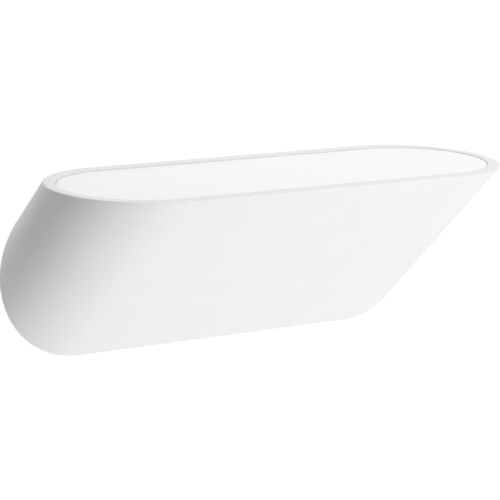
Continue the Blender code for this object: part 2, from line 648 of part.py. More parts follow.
def terminal_screw(i):
    start = INSERT_DEPTH + INSERT_RADIUS + TOUCH
    length = TERMINAL_FACE - 0.0006 - start
    r = TERMINAL_SCREW_RADIUS
    screw = turned(f"terminal_screw_{i + 1}", [(0, length), (r * 0.85, length), (r, length - r * 0.2),
                                               (r, 0), (0, 0)],
                   at(pole_x(i), start, TERMINAL_MID_Z), Vector((0, -1, 0)), "steel", 16)
    end = start + length
    x = pole_x(i)
    boolean(screw, [box(f"driver_slot_{i}", (x - 0.0003, x + 0.0003), (end - 0.0007, end + 0.002),
                        (TERMINAL_MID_Z - 0.003, TERMINAL_MID_Z + 0.003))])


def earth_point():
    face = PLATE_THICK + TOUCH
    ring = rod("earth_tag", at(EARTH_X, face, EARTH_Z), at(EARTH_X, face + EARTH_TAG_THICK, EARTH_Z),
               EARTH_TAG_RADIUS, "brass")
    tail = box("earth_tail_form", (EARTH_X - EARTH_TAG_RADIUS - EARTH_TAG_TAIL, EARTH_X - EARTH_SCREW_RADIUS * 1.5),
               (face, face + EARTH_TAG_THICK), (EARTH_Z - 0.002, EARTH_Z + 0.002))
    boolean(ring, [tail], "UNION")
    boolean(ring, [rod("earth_tag_hole", at(EARTH_X, 0, EARTH_Z), at(EARTH_X, 0.006, EARTH_Z),
                       EARTH_SCREW_RADIUS + TOUCH, sides=16)])
    grip = face + EARTH_TAG_THICK
    turned("earth_screw", screw_profile(EARTH_SCREW_RADIUS, grip, 0.0024), at(EARTH_X, TOUCH, EARTH_Z),
           Vector((0, -1, 0)), "brass", 16)


def wires():
    """Insulated wires from the terminals to the two contacts and to the earth tag."""
    top = TERMINAL_MID_Z + INSERT_LENGTH / 2
    start = TERMINAL_MID_Z + 0.002
    out = ARM_OUT_X
    hole = (WIRE_HOLE_DEPTH, WIRE_HOLE_Z)

    def run(side, pole, offset, end_x):
        x = pole_x(pole)
        past = side * (out + 0.008)
        return [at(x, INSERT_DEPTH, start), at(x, INSERT_DEPTH, top + 0.002), at(x + side * 0.004, 0.009, top + 0.005),
                at(x + side * 0.016, 0.0095, top + 0.005), at(side * (ARM_X - 0.018), 0.0095, WIRE_HOLE_Z + 0.002),
                at(side * (ARM_X - 0.006), *hole), at(side * (out + 0.003), *hole),
                at(past, 0.011, WIRE_HOLE_Z + 0.003),
                at(side * (out + 0.011), (hole[0] + LAMP_DEPTH) / 2, (hole[1] + LAMP_Z) / 2 - 0.002),
                at(past, LAMP_DEPTH + offset - 0.001, LAMP_Z - 0.001), at(side * (out + 0.002), LAMP_DEPTH + offset, LAMP_Z),
                at(side * end_x, LAMP_DEPTH + offset, LAMP_Z)]

    tube("wire_live", smooth_path(run(-1, 0, 0.0, SPRING_CAP_X + TOUCH)), WIRE_RADIUS, "wire_brown")
    tube("wire_neutral", smooth_path(run(1, 2, 0.0023, SPRING_CAP_X + SPRING_CAP_THICK + TOUCH)),
         WIRE_RADIUS, "wire_blue")
    x, tag = pole_x(1), EARTH_X - EARTH_TAG_RADIUS - EARTH_TAG_TAIL
    low = TERMINAL_MID_Z - INSERT_LENGTH / 2
    tag_d = PLATE_THICK + TOUCH + EARTH_TAG_THICK / 2
    tube("wire_earth", smooth_path([at(x, INSERT_DEPTH, TERMINAL_MID_Z - 0.002), at(x, INSERT_DEPTH, low - 0.0018),
                                    at(x + 0.003, INSERT_DEPTH - 0.001, low - 0.0038),
                                    at(x + 0.015, INSERT_DEPTH - 0.002, low - 0.0035),
                                    at(tag - 0.008, 0.0035, EARTH_Z - 0.001),
                                    at(tag - 0.003, tag_d + 0.001, EARTH_Z), at(tag - TOUCH, tag_d + 0.001, EARTH_Z)]),
         WIRE_RADIUS, "wire_green")


# ======================================================================= the lamp
def lamp(parent):
    """Double-ended tube lamp: quartz tube, pinched ends, ceramic caps, end contacts, filament."""
    axis = at(0, LAMP_DEPTH, LAMP_Z)
    half = LAMP_TUBE_LENGTH / 2
    bore = LAMP_TUBE_RADIUS - LAMP_TUBE_WALL
    along = Vector((1, 0, 0))
    turned("lamp_tube", [(bore, half), (LAMP_TUBE_RADIUS, half), (LAMP_TUBE_RADIUS, -half), (bore, -half)],
           axis, along, "quartz", 28, parent)
    cap_in = LAMP_END_X + LAMP_CAP_OVERHANG - LAMP_CAP_LENGTH
    for side, word in ((-1, "left"), (1, "right")):
        way = Vector((side, 0, 0))
        plug = rod(f"pinch_{word}", axis + way * (half - 0.004), axis + way * (half + 0.0006), bore - TOUCH,
                   "quartz", 20, parent)
        blade = box(f"pinch_form_{word}", sorted((side * (half - 0.001), side * (cap_in + 0.005))),
                    (LAMP_DEPTH - PINCH_WIDTH / 2, LAMP_DEPTH + PINCH_WIDTH / 2),
                    (LAMP_Z - PINCH_THICK / 2, LAMP_Z + PINCH_THICK / 2))
        blade.parent = parent
        blade.location = blade.location - parent.location
        boolean(plug, [blade], "UNION")
        r, end = LAMP_CAP_RADIUS, LAMP_CAP_LENGTH
        deep = end - LAMP_CAP_OVERHANG - LAMP_CONTACT_THICK - TOUCH
        cap = turned(f"cap_{word}", [(0, deep), (LAMP_RECESS_RADIUS, deep), (LAMP_RECESS_RADIUS, end),
                                     (r - 0.0004, end), (r, end - 0.0004), (r, 0), (0, 0)],
                     axis + way * cap_in, way, "ceramic", 24, parent)
        slot = box(f"cap_slot_{word}", sorted((side * (cap_in - 0.002), side * (cap_in + 0.005 + TOUCH))),
                   (LAMP_DEPTH - PINCH_WIDTH / 2 - TOUCH, LAMP_DEPTH + PINCH_WIDTH / 2 + TOUCH),
                   (LAMP_Z - PINCH_THICK / 2 - TOUCH, LAMP_Z + PINCH_THICK / 2 + TOUCH))
        slot.parent = parent
        slot.location = slot.location - parent.location
        boolean(cap, [slot])
        button = LAMP_RECESS_RADIUS - TOUCH
        turned(f"end_contact_{word}", [(0, LAMP_CONTACT_THICK), (button, LAMP_CONTACT_THICK), (button, 0), (0, 0)],
               axis + way * (LAMP_END_X - LAMP_CONTACT_THICK), way, "steel", 20, parent)
    coil = half - 0.013
    first = half - 0.004 - TOUCH
    points = [axis - along * first]
    steps = FILAMENT_TURNS * 8
    for i in range(steps + 1):
        angle = 2 * math.pi * i / 8
        points.append(axis + Vector((-coil + 2 * coil * i / steps, FILAMENT_RADIUS * math.cos(angle),
                                     FILAMENT_RADIUS * math.sin(angle))))
    points.append(axis + along * first)
    tube("filament", points, FILAMENT_WIRE, "tungsten", parent)


# ======================================================================= the body that lifts off
def body_outline(depth_or_height, level, inset=0.0, straight=STRAIGHT, radius=END_RADIUS, middle=0.0,
                 steps=28):
    """The tube's outline where it meets a wall-parallel plane or a level plane."""
    points = []
    for x, z in stadium(straight, radius - inset, steps):
        x0, z0 = x, z + middle
        if depth_or_height == "depth":
            points.append(at(x0, level, z0 + level))
        else:
            points.append(at(x0, level - z0, level))
    return points


def plaster_body(parent):
    """Cast body: a leaning tube, open at the wall and at the top, with a rebate for the glass."""
    ease = EDGE_EASE
    rings = [[at(x, 0, z) for x, z in stadium(STRAIGHT, END_RADIUS - ease, 28)],
             body_outline("depth", ease),
             body_outline("height", TOP_Z - ease),
             body_outline("height", TOP_Z, ease)]
    body = stack("plaster_body", rings, "plaster", parent)
    cavity = stack("cavity_form", [
        [at(x, -0.01, CAVITY_MID + z - 0.01) for x, z in stadium(CAVITY_HALF - CAVITY_RADIUS, CAVITY_RADIUS, 24)],
        [at(x, LEDGE_Z + 0.002 - (CAVITY_MID + z), LEDGE_Z + 0.002)
         for x, z in stadium(CAVITY_HALF - CAVITY_RADIUS, CAVITY_RADIUS, 24)]])
    centre = (POCKET_BACK + POCKET_FRONT) / 2
    pocket = stack("rebate_form", [[at(x, centre + d, z) for x, d in stadium(STRAIGHT, POCKET_RADIUS, 28, POCKET_REACH)]
                                   for z in (LEDGE_Z, TOP_Z + 0.01)])
    cuts = [cavity, pocket]
    for side, word in ((-1, "left"), (1, "right")):
        x = side * HOOK_X
        half = HOOK_WIDTH / 2 + CAST_GAP
        cuts.append(box(f"hook_notch_{word}", (x - half, x + half), (-0.01, HOOK_REACH + CAST_GAP),
                        (PLATE_MID, HOOK_TOP + CAST_GAP)))
        half = KEEPER_WIDTH / 2 + TOUCH
        cuts.append(box(f"keeper_seat_{word}", (x - half, x + half), (-0.01, TOUCH + KEEPER_THICK + TOUCH),
                        (PLATE_MID, KEEPER_LOW + KEEPER_HEIGHT + TOUCH)))
        for k in (-1, 1):
            sx, sz = x + k * KEEPER_SCREW_X, KEEPER_LOW + KEEPER_HEIGHT - KEEPER_SCREW_DROP
            cuts.append(rod(f"pilot_hole_{word}_{k}", at(sx, -0.01, sz), at(sx, KEEPER_SCREW_LEN + 2 * TOUCH, sz),
                            SCREW_RADIUS + TOUCH, sides=16))
    boolean(body, cuts)


def keeper(side, word, parent):
    """Steel keeper let into the back of the body; it hangs on the hook's shelf."""
    x = side * HOOK_X
    plate = box(f"keeper_{word}", (x - KEEPER_WIDTH / 2, x + KEEPER_WIDTH / 2), (TOUCH, TOUCH + KEEPER_THICK),
                (KEEPER_LOW, KEEPER_LOW + KEEPER_HEIGHT), "steel", parent)
    sz = KEEPER_LOW + KEEPER_HEIGHT - KEEPER_SCREW_DROP
    head = SCREW_RADIUS * 2
    cuts = []
    for k, tag in ((-1, "a"), (1, "b")):
        sx = x + k * KEEPER_SCREW_X
        cuts.append(rod(f"keeper_hole_{word}_{k}", at(sx, -0.01, sz), at(sx, 0.01, sz), SCREW_RADIUS + TOUCH,
                        sides=16))
        cuts.append(rod(f"keeper_sink_{word}_{k}", at(sx, -0.01, sz), at(sx, TOUCH + 0.0013, sz), head + TOUCH,
                        sides=20))
        turned(f"keeper_screw_{word}_{tag}",
               [(0, KEEPER_SCREW_LEN), (SCREW_RADIUS * 0.4, KEEPER_SCREW_LEN), (SCREW_RADIUS, KEEPER_SCREW_LEN - 0.002),
                (SCREW_RADIUS, 0.0011), (head, 0.0009), (head, TOUCH), (0, TOUCH)],
               at(sx, 0, sz), Vector((0, -1, 0)), "steel", 16, parent)
    boolean(plate, cuts)


def glass_pads(parent):
    """Silicone dots on the ledge that the glass lies on."""
    low, high = LEDGE_Z + TOUCH, GLASS_LOW - TOUCH
    front, back = POCKET_FRONT - LEDGE / 2, POCKET_BACK + LEDGE / 2
    for sx, word in ((-1, "left"), (1, "right")):
        for depth, row in ((front, "front"), (back, "back")):
            turned(f"glass_pad_{row}_{word}",
                   [(0, high - low), (PAD_RADIUS, high - low), (PAD_RADIUS, 0), (0, 0)],
                   at(sx * PAD_X, depth, low), Vector((0, 0, 1)), "silicone", 16, parent)


def diffuser(parent):
    """Frosted glass panel with eased edges."""
    centre = (POCKET_BACK + POCKET_FRONT) / 2
    rings = []
    for z, inset in ((GLASS_LOW, GLASS_EASE), (GLASS_LOW + GLASS_EASE, 0), (GLASS_TOP - GLASS_EASE, 0),
                     (GLASS_TOP, GLASS_EASE)):
        rings.append([at(x, centre + d, z)
                      for x, d in stadium(STRAIGHT, GLASS_RADIUS - inset, 24, GLASS_REACH - inset)])
    stack("glass_diffuser", rings, "glass", parent)


def build():
    clear_scene()
    shade_axis = empty("body_lift_axis", at(0, 0, PLATE_TOP))
    glass_axis = empty("diffuser_lift_axis", at(0, (POCKET_BACK + POCKET_FRONT) / 2, GLASS_LOW))
    contact_axis = empty("contact_axis", at(LAMP_END_X, LAMP_DEPTH, LAMP_Z))
    lamp_axis = empty("lamp_axis", at(0, LAMP_DEPTH, LAMP_Z))

    wall_plate()
    cable_grommet()
    for side, word in ((-1, "left"), (1, "right")):
        bracket(side, word)
        bracket_screw(side, word)
        holder(side, word)
        holder_screw(side, word)
        rivet(side, word)
        keeper(side, word, shade_axis)
    fixed_contact()
    sprung_contact(contact_axis)
    contact_spring()
    spring_cap()
    reflector()
    terminal_block()
    for i in range(3):
        terminal_insert(i)
        terminal_screw(i)
    earth_point()
    wires()
    lamp(lamp_axis)
    plaster_body(shade_axis)
    glass_pads(shade_axis)
    diffuser(glass_axis)


build()
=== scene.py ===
import json
import math

import bmesh
import bpy
import numpy as np
from mathutils import Matrix, Vector


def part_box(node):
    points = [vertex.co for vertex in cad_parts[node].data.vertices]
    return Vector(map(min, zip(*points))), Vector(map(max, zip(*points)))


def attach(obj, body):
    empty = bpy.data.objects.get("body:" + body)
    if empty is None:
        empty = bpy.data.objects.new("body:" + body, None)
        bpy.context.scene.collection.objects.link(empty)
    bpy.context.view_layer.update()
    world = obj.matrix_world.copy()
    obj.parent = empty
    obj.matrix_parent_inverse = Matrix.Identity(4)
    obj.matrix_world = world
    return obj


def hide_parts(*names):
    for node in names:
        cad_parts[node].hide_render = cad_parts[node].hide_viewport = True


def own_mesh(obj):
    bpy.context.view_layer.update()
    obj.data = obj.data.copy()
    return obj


# The frame that every piece is fitted to, and the box it fills before it is dressed.
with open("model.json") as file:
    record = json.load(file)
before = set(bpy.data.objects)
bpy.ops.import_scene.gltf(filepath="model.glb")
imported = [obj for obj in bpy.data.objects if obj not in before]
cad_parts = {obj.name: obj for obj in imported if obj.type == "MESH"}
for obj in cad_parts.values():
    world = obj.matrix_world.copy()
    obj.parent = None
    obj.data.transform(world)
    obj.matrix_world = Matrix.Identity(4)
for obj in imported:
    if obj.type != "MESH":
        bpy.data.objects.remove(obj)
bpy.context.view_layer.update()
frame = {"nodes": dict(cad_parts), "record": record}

# ---------------------------------------------------------------------------------------------
# Studio. The light hangs in the air over a plain pale floor, lit evenly from all round, with one
# dark screen at the front left that gives the round end its shade and a grey one at the right.
# ---------------------------------------------------------------------------------------------
studio = bpy.context.scene
studio.view_settings.view_transform = "Standard"
studio.view_settings.look = "None"

lens = bpy.data.cameras.new("viewer")
lens.sensor_width = 36.0
lens.lens = 160.8
lens.shift_x = -0.001
lens.clip_start, lens.clip_end = 0.05, 60.0
viewer = bpy.data.objects.new("viewer", lens)
across = Vector((0.82683, -0.56090, 0.04086)).normalized()
upward = Vector((0.09090, 0.20500, 0.97451))
upward = (upward - upward.dot(across) * across).normalized()
away = across.cross(upward)
stand = Vector((-0.7381, -1.1008, 0.3024))
viewer.matrix_world = Matrix((
    (across.x, upward.x, away.x, stand.x),
    (across.y, upward.y, away.y, stand.y),
    (across.z, upward.z, away.z, stand.z),
    (0, 0, 0, 1)))
studio.collection.objects.link(viewer)
studio.camera = viewer

sky = bpy.data.worlds.new("studio_air")
sky.use_nodes = True
sky.node_tree.nodes["Background"].inputs["Color"].default_value = (1.0, 1.0, 1.0, 1.0)
sky.node_tree.nodes["Background"].inputs["Strength"].default_value = 1.03
studio.world = sky


def flat_panel(name, corners):
    """A flat four-sided panel through four corners."""
    mesh = bpy.data.meshes.new(name)
    mesh.from_pydata([tuple(c) for c in corners], [], [(0, 1, 2, 3)])
    panel = bpy.data.objects.new(name, mesh)
    studio.collection.objects.link(panel)
    return panel


FLOOR_Z, FLOOR_REACH = -0.62, 14
floor = flat_panel("floor", [(-FLOOR_REACH, -FLOOR_REACH, FLOOR_Z), (FLOOR_REACH, -FLOOR_REACH, FLOOR_Z),
                             (FLOOR_REACH, FLOOR_REACH, FLOOR_Z), (-FLOOR_REACH, FLOOR_REACH, FLOOR_Z)])
pale = bpy.data.materials.new("pale_floor")
pale.use_nodes = True
coat = pale.node_tree.nodes["Principled BSDF"]
coat.inputs["Base Color"].default_value = (0.90, 0.90, 0.90, 1.0)
coat.inputs["Roughness"].default_value = 0.9
coat.inputs["Specular IOR Level"].default_value = 0.2
coat.inputs["Emission Color"].default_value = (1.0, 1.0, 1.0, 1.0)
coat.inputs["Emission Strength"].default_value = 0.12
floor.data.materials.append(pale)

screen = flat_panel("dark_screen", [(-0.385, -0.475, -0.31), (-0.587, 0.231, -0.31),
                                    (-0.587, 0.231, 0.60), (-0.385, -0.475, 0.60)])
soft_screen = flat_panel("grey_screen", [(0.70, -0.60, -0.45), (0.70, 0.45, -0.45),
                                         (0.70, 0.45, 0.55), (0.70, -0.60, 0.55)])
for cloth, shade, hung in (("black_cloth", 0.02, screen), ("grey_cloth", 0.70, soft_screen)):
    dull = bpy.data.materials.new(cloth)
    dull.use_nodes = True
    weave = dull.node_tree.nodes["Principled BSDF"]
    weave.inputs["Base Color"].default_value = (shade, shade, shade, 1.0)
    weave.inputs["Roughness"].default_value = 1.0
    hung.data.materials.append(dull)
    hung.visible_camera = False


def soft_lamp(name, place, target, size, power):
    """A square area lamp that stands at a place and faces a target."""
    light = bpy.data.lights.new(name, "AREA")
    light.shape = "RECTANGLE"
    light.size = light.size_y = size
    light.energy = power
    holder = bpy.data.objects.new(name, light)
    holder.location = place
    holder.rotation_euler = (Vector(target) - Vector(place)).to_track_quat("-Z", "Y").to_euler()
    studio.collection.objects.link(holder)


LIGHT_MIDDLE = (0, -0.05, 0)
soft_lamp("low_key", (0.15, -1.6, -0.25), LIGHT_MIDDLE, 1.0, 3.2)
soft_lamp("top_fill", (0.2, -0.5, 1.4), LIGHT_MIDDLE, 1.0, 2.5)

# ---------------------------------------------------------------------------------------------
# Cast body. A tube of white plaster with round ends that leans out from the wall at 45 degrees,
# cast in one piece with an open back and a rebate under its level rim for the glass. Two seats
# are left in its top wall for the steel keepers it hangs by.
# ---------------------------------------------------------------------------------------------
HALF_LENGTH, END_RADIUS = 0.150, 0.053
STRAIGHT = HALF_LENGTH - END_RADIUS
TOP_Z = 0.0618
RIM_WIDTH, RIM_END_WIDTH = 0.0092, 0.0065   # the wall is cut on the slant at the front and back, so
REBATE_RADIUS = END_RADIUS - RIM_WIDTH      # the level rim is wider there than at the two ends
REBATE_REACH = END_RADIUS - RIM_END_WIDTH
REBATE_CENTRE = 0.0618                      # depth of the middle of the rim
REBATE_DEEP = 0.0054                        # room for the pads and the glass, just below the rim
LEDGE_Z = TOP_Z - REBATE_DEEP
LEDGE_END = 0.009                           # how far the ledge runs in under the glass at each end
HOLLOW_TOP, HOLLOW_LOW = 0.0301, -0.0409
HOLLOW_MID = (HOLLOW_TOP + HOLLOW_LOW) / 2
HOLLOW_RADIUS = (HOLLOW_TOP - HOLLOW_LOW) / 2
HOLLOW_STRAIGHT = STRAIGHT + REBATE_REACH - LEDGE_END - HOLLOW_RADIUS
HOOK_X = 0.045                              # a seat and its hook stand this far from the middle
SEAT_HALF, SEAT_DEPTH, SEAT_TOP = 0.0153, 0.0026, 0.0463    # where a keeper is let in
NOTCH_HALF, NOTCH_DEPTH, NOTCH_TOP = 0.013, 0.006, 0.037    # room for the hook behind the keeper
NOTCH_STEP = 0.0043                         # a spare step in the hollow between notch and seat depth
CAST_EASE = 0.0010                          # radius of the hand-sanded outer edges
RIM_EASE, REBATE_EASE, LEDGE_EASE = 0.00025, 0.0003, 0.0008
ARC_POINTS = 65


def join_grid(name, points, finish, close_u=True, close_v=True, crease=35.0):
    """A surface over a grid of points: each face joins four neighbours, and the grid can close
    on itself both ways. Points that fall together are merged, so poles and seams are closed."""
    n, m = points.shape[:2]
    i, j = np.meshgrid(np.arange(n if close_u else n - 1), np.arange(m if close_v else m - 1),
                       indexing="ij")
    i2, j2 = (i + 1) % n, (j + 1) % m
    quads = np.stack([i * m + j, i2 * m + j, i2 * m + j2, i * m + j2], -1).reshape(-1, 4)
    mesh = bpy.data.meshes.new(name)
    mesh.from_pydata(points.reshape(-1, 3), [], quads)
    work = bmesh.new()
    work.from_mesh(mesh)
    bmesh.ops.remove_doubles(work, verts=work.verts, dist=2e-6)
    bmesh.ops.dissolve_degenerate(work, edges=work.edges, dist=1e-7)
    bmesh.ops.recalc_face_normals(work, faces=work.faces)
    work.to_mesh(mesh)
    work.free()
    mesh.shade_smooth()
    mesh.set_sharp_from_angle(angle=math.radians(crease))
    piece = bpy.data.objects.new(name, mesh)
    studio.collection.objects.link(piece)
    mesh.materials.append(finish)
    return piece


def eased(corners, radius, steps=5):
    """Corners of closed profiles (stations, corners, 3) turned to small curves: each corner C gives
    (1-t)^2 A + 2t(1-t) C + t^2 B. A and B lie a radius away on its two sides, or a little short of
    halfway along a side that is too short for it."""
    nearly_half, tiny = 0.45, 1e-12
    reach = np.asarray(radius)[None, :, None]
    ends = []
    for step in (1, -1):
        leg = np.roll(corners, step, axis=1) - corners
        long = np.linalg.norm(leg, axis=-1, keepdims=True) + tiny
        ends.append((corners + leg / long * np.minimum(reach, long * nearly_half))[:, :, None])
    t = np.linspace(0, 1, steps)[None, None, :, None]
    curve = (1 - t) ** 2 * ends[0] + 2 * t * (1 - t) * corners[:, :, None] + t ** 2 * ends[1]
    return curve.reshape(len(corners), -1, 3)


class Tone:
    """A number that varies over a surface. Sums, differences and products add their own nodes."""

    def __init__(self, finish, socket):
        self.finish, self.socket = finish, socket

    def worked(self, operation, first, second):
        """The tone that one Math node gives from two values."""
        step = self.finish.node("ShaderNodeMath", {"operation": operation}, {0: first, 1: second})
        return Tone(self.finish, step.outputs[0])

    def __add__(self, other):
        return self.worked("ADD", self, other)

    __radd__ = __add__

    def __mul__(self, other):
        return self.worked("MULTIPLY", self, other)

    __rmul__ = __mul__

    def __sub__(self, other):
        return self.worked("SUBTRACT", self, other)

    def __rsub__(self, other):
        return self.worked("SUBTRACT", other, self)


class Finish:
    """One surface finish: a material with its shader, and one method that adds any node to it."""

    def __init__(self, name, **constants):
        self.material = bpy.data.materials.new(name)
        self.material.use_nodes = True
        self.tree = self.material.node_tree
        self.shader = self.tree.nodes["Principled BSDF"]
        for socket, value in constants.items():
            self.shader.inputs[socket.replace("_", " ")].default_value = value

    def node(self, kind, settings=None, sockets=None):
        """Adds a node of a kind: its settings are set first, then its sockets are fed."""
        made = self.tree.nodes.new(kind)
        for key, value in (settings or {}).items():
            setattr(made, key, value)
        for key, value in (sockets or {}).items():
            self.feed(made.inputs[key], value)
        return made

    def feed(self, socket, value):
        """Links a tone or another node's socket to a socket, or sets the plain value on it."""
        if isinstance(value, Tone):
            value = value.socket
        if isinstance(value, bpy.types.NodeSocket):
            self.tree.links.new(value, socket)
        else:
            socket.default_value = value

    def place(self):
        """Where a point is on the piece, in metres."""
        return self.node("ShaderNodeTexCoord").outputs["Object"]

    def grain(self, size, detail=3.0, stretch=(1.0, 1.0, 1.0), rough=0.55):
        """Cloudy variation from 0 to 1 with patches of about the given size in metres."""
        spread = self.node("ShaderNodeMapping", {}, {"Vector": self.place(), "Scale": stretch})
        cloud = self.node("ShaderNodeTexNoise", {"noise_dimensions": "3D"},
                          {"Vector": spread.outputs[0], "Scale": 1.0 / size, "Detail": detail,
                           "Roughness": rough})
        return Tone(self, cloud.outputs[0])

    def between(self, low, high, tone):
        """0 below the low value of a tone, 1 above the high one."""
        ramp = self.node("ShaderNodeMapRange", {"clamp": True},
                         {"Value": tone, "From Min": low, "From Max": high, "To Min": 0.0, "To Max": 1.0})
        return Tone(self, ramp.outputs[0])

    def colour(self, factor, first, second):
        """Base Color that goes from one colour to another as the factor goes from 0 to 1."""
        mix = self.node("ShaderNodeMix", {"data_type": "RGBA"},
                        {0: factor, 6: (*first, 1.0), 7: (*second, 1.0)})
        self.feed(self.shader.inputs["Base Color"], mix.outputs[2])

    def roughness(self, tone):
        """Roughness that follows a tone."""
        self.feed(self.shader.inputs["Roughness"], tone)

    def relief(self, height, depth):
        """Fine relief: the height tone times a depth in metres tilts the surface."""
        bump = self.node("ShaderNodeBump", {}, {"Height": height, "Distance": depth, "Strength": 1.0})
        self.feed(self.shader.inputs["Normal"], bump.outputs[0])


def cast_plaster():
    """Matt white plaster: faint cloudy mottling, a dry tooth, and scattered pinholes from air bubbles,
    sunk by the relief and darkened with painted shade.
    The level rim is painted a shade greyer: painted shade on its top face, picked out by its height."""
    finish = Finish("cast_plaster", Specular_IOR_Level=0.08)
    cloud = finish.grain(0.045, 4.0)
    tooth = finish.grain(0.0011, 3.0)
    hole_seed = finish.grain(0.0022, 1.0)
    # painted shade: the pinholes are darkened in colour as well as sunk by the relief
    pinhole_with_painted_shade = finish.between(0.765, 0.80, hole_seed)
    height = finish.node("ShaderNodeSeparateXYZ", {}, {0: finish.place()}).outputs[2]
    # painted shade: the level top of the rim is greyed in colour, picked out by its height
    painted_rim_shade = finish.between(TOP_Z - 0.0006, TOP_Z - 0.0001, Tone(finish, height))
    # the grey colour serves the random mottling and also the painted shade of the pinholes and the rim
    finish.colour(cloud * 0.4 + pinhole_with_painted_shade * 0.2 + painted_rim_shade * 0.47 - 0.1,
                  (0.885, 0.885, 0.885), (0.76, 0.758, 0.755))
    finish.roughness(0.74 + cloud * 0.16)
    finish.relief(tooth * 0.35 + cloud * 0.9 - pinhole_with_painted_shade * 1.4, 0.00010)
    return finish.material


# The stations round the outline: the right end, the top with its two seats, and the left end. Each
# has its side (-1 left to 1 right), its angle, and what is cut there: nothing, a seat, or a notch.
PLAIN, SEAT, NOTCH = 0, 1, 2
arc = np.radians(np.linspace(-90, 90, ARC_POINTS))
one_end = np.ones(ARC_POINTS)
cuts = [(SEAT_HALF, PLAIN), (SEAT_HALF, SEAT), (NOTCH_HALF, SEAT), (NOTCH_HALF, NOTCH),
        (-NOTCH_HALF, NOTCH), (-NOTCH_HALF, SEAT), (-SEAT_HALF, SEAT), (-SEAT_HALF, PLAIN)]
seat_x, seat_cut = np.array([HOOK_X + x for x, _ in cuts]), np.array([cut for _, cut in cuts])
top_x = np.concatenate([seat_x, -seat_x[::-1]])
side = np.concatenate([one_end, top_x / HOLLOW_STRAIGHT, -one_end])
angle = np.concatenate([arc, np.full(len(top_x), np.pi / 2), arc + np.pi])
cut_there = np.concatenate([one_end * PLAIN, seat_cut, seat_cut[::-1], one_end * PLAIN])


def outline(straight, radius, reach=None):
    """Outline with round ends: x = side * straight + reach cos a, and radius sin a across it. The
    reach past the straight part is the radius unless given."""
    return side * straight + (reach or radius) * np.cos(angle), radius * np.sin(angle)


def body_profile():
    """Section of the cast body at every station round its outline, as (stations, corners, 3).
    Walls run along (0, -1, +1) from the wall plane; the rim, rebate and ledge are level."""
    flat = np.zeros_like(side)
    outer_x, outer_z = outline(STRAIGHT, END_RADIUS)
    rebate_x, rebate_out = outline(STRAIGHT, REBATE_RADIUS, REBATE_REACH)
    hollow_x, hollow_z = outline(HOLLOW_STRAIGHT, HOLLOW_RADIUS)
    hollow_z = hollow_z + HOLLOW_MID

    def corner(x, depth, z):
        """One corner of the section, at all stations."""
        return np.stack([x, flat - depth, flat + z], -1)

    back_land = (SEAT_TOP - HOLLOW_TOP) / (END_RADIUS - HOLLOW_TOP)
    land_x = np.where(angle == np.pi / 2, hollow_x, hollow_x + back_land * (outer_x - hollow_x))
    back_edge, rim_edge = corner(outer_x, 0, outer_z), corner(outer_x, TOP_Z - outer_z, TOP_Z)
    corners = np.stack([
        back_edge, rim_edge, corner(rebate_x, REBATE_CENTRE - rebate_out, TOP_Z),
        corner(rebate_x, REBATE_CENTRE - rebate_out, LEDGE_Z), corner(hollow_x, LEDGE_Z - hollow_z, LEDGE_Z),
        *(corner(hollow_x, depth, hollow_z + depth) for depth in (NOTCH_DEPTH, NOTCH_STEP, SEAT_DEPTH, 0)),
        corner(land_x, 0, hollow_z + back_land * (outer_z - hollow_z))], 1)
    roof = {6: (cut_there == NOTCH, NOTCH_DEPTH, NOTCH_TOP), 7: (cut_there == NOTCH, SEAT_DEPTH, NOTCH_TOP),
            8: (cut_there != PLAIN, SEAT_DEPTH, SEAT_TOP), 9: (cut_there != PLAIN, 0, SEAT_TOP)}
    for index, (here, depth, z) in roof.items():
        corners[here, index] = corner(hollow_x, depth, z)[here]
    return eased(corners, [CAST_EASE, CAST_EASE, RIM_EASE, REBATE_EASE, LEDGE_EASE, 0, 0, 0, 0, 0])


def stands_for(piece, node):
    """The piece takes the place of a frame node and moves with that node's body."""
    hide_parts(node)
    owner = next(b for b, nodes in frame["record"]["behaviour"]["bodies"].items() if node in nodes)
    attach(piece, owner)


stands_for(join_grid("cast_body", body_profile(), cast_plaster()), "plaster_body")

# ---------------------------------------------------------------------------------------------
# Silicone dots. Four soft pads on the ledge of the rebate, stuck down by hand, that keep the
# glass from rattling on the plaster.
# ---------------------------------------------------------------------------------------------


def turned(name, profile, start, direction, finish, sides=48, ease=0.0002, closed=False):
    """A turned piece: each (radius, distance) corner of the profile, eased, is swept as
    start + distance * axis + radius * (cos a * u + sin a * v). An open profile starts and ends on
    the axis."""
    corners = np.array(profile, float)[None]
    flat = np.concatenate([corners, np.zeros((1, corners.shape[1], 1))], -1)
    radii = np.full(corners.shape[1], ease)
    if not closed:
        radii[0] = radii[-1] = 0.0
    line = eased(flat, radii)[0][:, :2]
    axis = np.array(direction, float) / np.linalg.norm(direction)
    stands_up = abs(axis[2]) > 0.9
    u = np.cross(axis, (1.0, 0.0, 0.0) if stands_up else (0.0, 0.0, 1.0))
    u /= np.linalg.norm(u)
    v = np.cross(axis, u)
    turn = np.linspace(0, 2 * np.pi, sides, endpoint=False)[:, None, None]
    points = (np.array(start, float) + line[None, :, 1:2] * axis
              + line[None, :, 0:1] * (np.cos(turn) * u + np.sin(turn) * v))
    return join_grid(name, points, finish, close_v=closed)


def room(node):
    """The low corner, middle and high corner of the box that a frame node fills."""
    low, high = (np.array(corner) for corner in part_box(node))
    return low, (low + high) / 2, high


def soft_silicone():
    """Milky silicone with a faint skin of dust."""
    finish = Finish("soft_silicone", Subsurface_Weight=0.2, Subsurface_Radius=(0.002, 0.002, 0.002))
    dust = finish.grain(0.0009)
    finish.colour(dust, (0.78, 0.79, 0.79), (0.68, 0.68, 0.67))
    finish.roughness(0.5 + dust * 0.3)
    return finish.material


